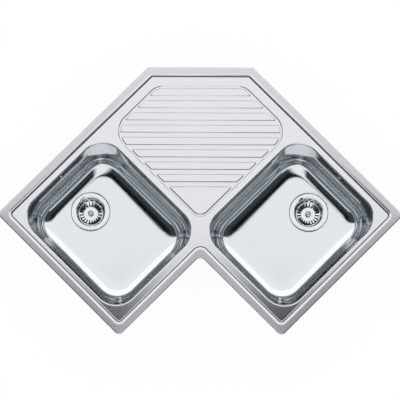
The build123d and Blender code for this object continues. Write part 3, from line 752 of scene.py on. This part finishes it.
hoseTree, given, result = newTree("ribbedHose", {
    "Bend Radius": "NodeSocketFloat", "Root Radius": "NodeSocketFloat",
    "Bore Radius": "NodeSocketFloat", "Rib Height": "NodeSocketFloat",
    "Rib Pitch": "NodeSocketFloat", "Rings": "NodeSocketInt", "Sides": "NodeSocketInt",
    "Finish": "NodeSocketMaterial"})
path = addNode(hoseTree, "GeometryNodeMeshToCurve", {}, {"Mesh": given.outputs["Geometry"]})
bent = addNode(hoseTree, "GeometryNodeFilletCurve", {"mode": "POLY", "Count": hoseLook["bendSteps"]},
               {"Curve": path.outputs[0], "Radius": given.outputs["Bend Radius"]})
even = addNode(hoseTree, "GeometryNodeResampleCurve", {}, {
    "Curve": bent.outputs[0], "Count": given.outputs["Rings"]})
along = addNode(hoseTree, "GeometryNodeSplineParameter", {}, {})
kept = addNode(hoseTree, "GeometryNodeStoreNamedAttribute", {
    "data_type": "FLOAT", "domain": "POINT", "Name": "along"},
    {"Geometry": even.outputs[0], "Value": along.outputs["Length"]})
tubes = []
for size in ("Root Radius", "Bore Radius"):
    circle = addNode(hoseTree, "GeometryNodeCurvePrimitiveCircle", {}, {
        "Resolution": given.outputs["Sides"], "Radius": given.outputs[size]})
    tubes.append(addNode(hoseTree, "GeometryNodeCurveToMesh", {}, {
        "Curve": kept.outputs[0], "Profile Curve": circle.outputs[0]}))
place = addNode(hoseTree, "GeometryNodeInputNamedAttribute", {
    "data_type": "FLOAT", "Name": "along"}, {})
count = addNode(hoseTree, "ShaderNodeMath", {"operation": "DIVIDE"},
                {0: place.outputs[0], 1: given.outputs["Rib Pitch"]})
wave = addNode(hoseTree, "ShaderNodeMath", {"operation": "PINGPONG", 1: 0.5},
               {0: count.outputs[0]})
crest = addNode(hoseTree, "ShaderNodeMapRange", {
    "interpolation_type": "SMOOTHSTEP", "From Min": hoseLook["ribStart"],
    "From Max": hoseLook["ribCrest"]}, {"Value": wave.outputs[0],
                                        "To Max": given.outputs["Rib Height"]})
outwards = addNode(hoseTree, "GeometryNodeInputNormal", {}, {})
push = addNode(hoseTree, "ShaderNodeVectorMath", {"operation": "SCALE"},
               {0: outwards.outputs[0], "Scale": crest.outputs[0]})
ribbed = addNode(hoseTree, "GeometryNodeSetPosition", {}, {
    "Geometry": tubes[0].outputs[0], "Offset": push.outputs[0]})
both = addNode(hoseTree, "GeometryNodeJoinGeometry", {}, {0: ribbed.outputs[0]})
hoseTree.links.new(tubes[1].outputs[0], both.inputs[0])
real = addNode(hoseTree, "GeometryNodeRealizeInstances", {}, {"Geometry": both.outputs[0]})
finish = addNode(hoseTree, "GeometryNodeSetMaterial", {}, {
    "Geometry": real.outputs[0], "Material": given.outputs["Finish"]})
hoseTree.links.new(finish.outputs[0], result.inputs["Geometry"])

for side in ("left", "right"):
    route = [(bowlS, hoseLook["wallSide"], hoseLook["top"]),
             (bowlS, hoseLook["wallSide"], hoseLook["low"]),
             (bowlS, hoseLook["end"], hoseLook["low"])]
    line = bpy.data.meshes.new("hoseRoute")
    line.from_pydata([tuple(Vector(point) / 1000) for point in route], [(0, 1), (1, 2)], [])
    tube = bakedMesh("hoseMaker", line, hoseTree, {
        "Bend Radius": hoseLook["bend"] / 1000, "Root Radius": hoseLook["rootRadius"] / 1000,
        "Bore Radius": hoseLook["boreRadius"] / 1000, "Rib Height": hoseLook["ribHeight"] / 1000,
        "Rib Pitch": hoseLength / hoseLook["ribs"] / 1000,
        "Rings": hoseLook["ribs"] * hoseLook["ringsPerRib"] + 1, "Sides": hoseLook["sides"],
        "Finish": hosePlastic})
    hoseMesh = bmesh.new()
    hoseMesh.from_mesh(tube)
    rims = [edge for edge in hoseMesh.edges if edge.is_boundary]
    for atTop in (True, False):
        ends = [edge for edge in rims
                if (edge.verts[0].co.z * 1000 > hoseLook["top"] - 1) == atTop]
        bmesh.ops.bridge_loops(hoseMesh, edges=ends)
    bmesh.ops.transform(hoseMesh, matrix=legMatrix(side), verts=hoseMesh.verts)
    finishPiece(f"{side}OverflowHoseRibbed", hoseMesh, [hosePlastic], [f"{side}_overflow_hose"],
                bodyOf[f"{side}_overflow_hose"], sharp=50)
print("hoses made")


# The stage: a white floor, cards for the steel to mirror, one soft lamp and a white world
studio = {
    "floorSize": 16.0, "floorDrop": 0.001, "floorGlow": 0.94,
    "cardHeight": 7.0, "cardEdge": 0.45, "cardSteps": 40, "frontReach": 9.4, "sideReach": 12.0,
    "sideEnd": 38.0, "frontStart": 41.0, "fadeStart": 0.44, "fadeEnd": 0.14,
    "gapAngle": 16.0, "gapFade": 34.0, "inkFrom": 7.25, "inkTo": 8.3,
    "ringRadius": 12.0, "ringSteps": 48, "ringFoot": 0.5, "ringSides": 59.0, "ringFront": 74.0,
    "ringBack": 55.0, "frontNarrowing": 12, "ringDark": 2.6, "ringLight": 7.6,
    "backCardNear": 2.2, "backCardFar": 8.6, "backCardGlow": 1.35, "worldLight": 1.1,
    "lampPower": 12.0, "lampSize": (5.0, 2.5), "lampPlace": (0.0, 3.2, 4.2),
    "lampTarget": (0.0, -0.4, 0.0),
}
photoCamera = {
    "sensor": 36.0, "lens": 213.73, "shift": 0.15, "reach": 100.0,
    "place": (-0.0844, -1.4841, 6.7812), "turn": (7.714, -0.718, 0.092),
}

# White floor: bright to the camera and in the steel, matt for the lamp, so it takes a soft shadow
floorMaterial, tree = newMaterial("paleStudioFloor")
path = addNode(tree, "ShaderNodeLightPath", {}, {})
paint = addNode(tree, "ShaderNodeBsdfDiffuse", {"Color": hexColour("F4F4F4")}, {})
glow = addNode(tree, "ShaderNodeEmission", {"Color": (1, 1, 1, 1), "Strength": 1.0}, {})
seen = addNode(tree, "ShaderNodeMath", {"operation": "MAXIMUM"},
               {0: path.outputs["Is Camera Ray"], 1: path.outputs["Is Glossy Ray"]})
through = addNode(tree, "ShaderNodeMath", {"operation": "MAXIMUM"},
                  {0: seen.outputs[0], 1: path.outputs["Is Transmission Ray"]})
share = addNode(tree, "ShaderNodeMath", {"operation": "MULTIPLY", 1: studio["floorGlow"]},
                {0: through.outputs[0]})
surface = addNode(tree, "ShaderNodeMixShader", {},
                  {0: share.outputs[0], 1: paint.outputs[0], 2: glow.outputs[0]})
addNode(tree, "ShaderNodeOutputMaterial", {}, {"Surface": surface.outputs[0]})


def stageCard(name, material, corners, faces):
    data = bpy.data.meshes.new(name)
    data.from_pydata(corners, [], faces)
    data.materials.append(material)
    card = bpy.data.objects.new(name, data)
    scene.collection.objects.link(card)
    return card


def shyCard(name, material, corners, faces):  # shows in reflections alone
    card = stageCard(name, material, corners, faces)
    card.visible_camera = False
    card.visible_diffuse = False
    card.visible_shadow = False


half = studio["floorSize"] / 2
floorZ = cadLow.z - studio["floorDrop"]
stageCard("studioFloor", floorMaterial, [(-half, -half, floorZ), (half, -half, floorZ),
                                         (half, half, floorZ), (-half, half, floorZ)],
          [(0, 1, 2, 3)])

# Overhead cards: black by their back edge, slate further out, and see-through towards the edge
# and towards the gap that is left open at the front
blackCard, tree = newMaterial("blackStudioCard")
place = addNode(tree, "ShaderNodeTexCoord", {}, {})
parts = addNode(tree, "ShaderNodeSeparateXYZ", {}, {"Vector": place.outputs["Object"]})
away = addNode(tree, "ShaderNodeVectorMath", {"operation": "LENGTH"}, {0: place.outputs["Object"]})
spread = addNode(tree, "ShaderNodeMapRange", {
    "From Min": studio["inkFrom"], "From Max": studio["inkTo"]}, {"Value": away.outputs["Value"]})
ink = addNode(tree, "ShaderNodeMix", {
    "data_type": "RGBA", "A": hexColour("08090A"), "B": hexColour("3B4346")},
    {"Factor": spread.outputs[0]})
fade = addNode(tree, "ShaderNodeMapRange", {
    "From Min": studio["fadeStart"], "From Max": studio["fadeEnd"]}, {"Value": parts.outputs["Y"]})
ahead = addNode(tree, "ShaderNodeMath", {"operation": "SUBTRACT", 0: studio["cardEdge"]},
                {1: parts.outputs["Y"]})
aside = addNode(tree, "ShaderNodeMath", {"operation": "ABSOLUTE"}, {0: parts.outputs["X"]})
azimuth = addNode(tree, "ShaderNodeMath", {"operation": "ARCTAN2"},
                  {0: aside.outputs[0], 1: ahead.outputs[0]})
feather = addNode(tree, "ShaderNodeMapRange", {
    "From Min": radians(studio["gapAngle"]), "From Max": radians(studio["gapFade"])},
    {"Value": azimuth.outputs[0]})
density = addNode(tree, "ShaderNodeMath", {"operation": "MULTIPLY"},
                  {0: fade.outputs[0], 1: feather.outputs[0]})
clear = addNode(tree, "ShaderNodeBsdfTransparent", {}, {})
paint = addNode(tree, "ShaderNodeBsdfDiffuse", {}, {"Color": ink.outputs["Result"]})
surface = addNode(tree, "ShaderNodeMixShader", {},
                  {0: density.outputs[0], 1: clear.outputs[0], 2: paint.outputs[0]})
addNode(tree, "ShaderNodeOutputMaterial", {}, {"Surface": surface.outputs[0]})

height, edge = studio["cardHeight"], studio["cardEdge"]
for side, sign in (("left", -1), ("right", 1)):
    corners = [(0.0, edge, height)]
    for k in range(studio["cardSteps"] + 1):
        angle = (90 - studio["gapAngle"]) * k / studio["cardSteps"]
        share = (angle - studio["sideEnd"]) / (studio["frontStart"] - studio["sideEnd"])
        share = min(1.0, max(0.0, share))
        reach = studio["sideReach"] + (studio["frontReach"] - studio["sideReach"]) * share
        corners.append((sign * reach * cos(radians(angle)),
                        edge - reach * sin(radians(angle)), height))
    shyCard(side + "OverheadCard", blackCard, corners, [tuple(range(len(corners)))])

# Ring round the stage: dark slate at its foot and lighter towards its top, low in front. Its
# heights are given as the angle from straight up at which its top is seen.
slateCard, tree = newMaterial("slateStudioCard")
place = addNode(tree, "ShaderNodeTexCoord", {}, {})
parts = addNode(tree, "ShaderNodeSeparateXYZ", {}, {"Vector": place.outputs["Object"]})
rise = addNode(tree, "ShaderNodeMapRange", {
    "From Min": studio["ringDark"], "From Max": studio["ringLight"]}, {"Value": parts.outputs["Z"]})
wash = addNode(tree, "ShaderNodeMix", {
    "data_type": "RGBA", "A": hexColour("474D50"), "B": hexColour("9FA4A7")},
    {"Factor": rise.outputs[0]})
paint = addNode(tree, "ShaderNodeBsdfDiffuse", {}, {"Color": wash.outputs["Result"]})
addNode(tree, "ShaderNodeOutputMaterial", {}, {"Surface": paint.outputs[0]})

ringLow, ringHigh = [], []
radius, steps = studio["ringRadius"], studio["ringSteps"]
for k in range(steps):
    angle = 2 * pi * k / steps
    front, back = max(0.0, -sin(angle)) ** studio["frontNarrowing"], max(0.0, sin(angle))
    zenith = studio["ringSides"] + (studio["ringFront"] - studio["ringSides"]) * front
    zenith += (studio["ringBack"] - studio["ringSides"]) * back
    x, y = radius * cos(angle), radius * sin(angle)
    ringLow.append((x, y, floorZ - studio["ringFoot"]))
    ringHigh.append((x, y, radius / tan(radians(zenith))))
shyCard("slateRing", slateCard, ringLow + ringHigh,
        [(k, (k + 1) % steps, steps + (k + 1) % steps, steps + k) for k in range(steps)])

# White card behind: the light streaks on the walls that face it
backGlow, tree = newMaterial("whiteBackCard")
glow = addNode(tree, "ShaderNodeEmission", {"Strength": studio["backCardGlow"]}, {})
addNode(tree, "ShaderNodeOutputMaterial", {}, {"Surface": glow.outputs[0]})
near, far = studio["backCardNear"], studio["backCardFar"]
shyCard("whiteBackCard", backGlow, [(-half, near, height), (half, near, height),
                                    (half, far, height), (-half, far, height)], [(0, 1, 2, 3)])

world = bpy.data.worlds.new("studioWorld")
scene.world = world
world.use_nodes = True
world.node_tree.nodes.clear()
sky = addNode(world.node_tree, "ShaderNodeBackground", {
    "Color": (1, 1, 1, 1), "Strength": studio["worldLight"]}, {})
addNode(world.node_tree, "ShaderNodeOutputWorld", {}, {"Surface": sky.outputs[0]})

lampData = bpy.data.lights.new("backSoftbox", "AREA")
lampData.shape = "RECTANGLE"
lampData.size, lampData.size_y = studio["lampSize"]
lampData.energy = studio["lampPower"]
lamp = bpy.data.objects.new("backSoftbox", lampData)
scene.collection.objects.link(lamp)
lamp.visible_glossy = False
lamp.location = studio["lampPlace"]
beam = Vector(studio["lampTarget"]) - lamp.location
lamp.rotation_euler = beam.to_track_quat("-Z", "Y").to_euler()

cameraData = bpy.data.cameras.new("photoCamera")
cameraData.sensor_width = photoCamera["sensor"]
cameraData.lens = photoCamera["lens"]
cameraData.shift_y = photoCamera["shift"]
cameraData.clip_end = photoCamera["reach"]
camera = bpy.data.objects.new("photoCamera", cameraData)
scene.collection.objects.link(camera)
camera.location = photoCamera["place"]
camera.rotation_euler = [radians(turn) for turn in photoCamera["turn"]]
scene.camera = camera
scene.view_settings.view_transform = "Standard"
print("studio set")
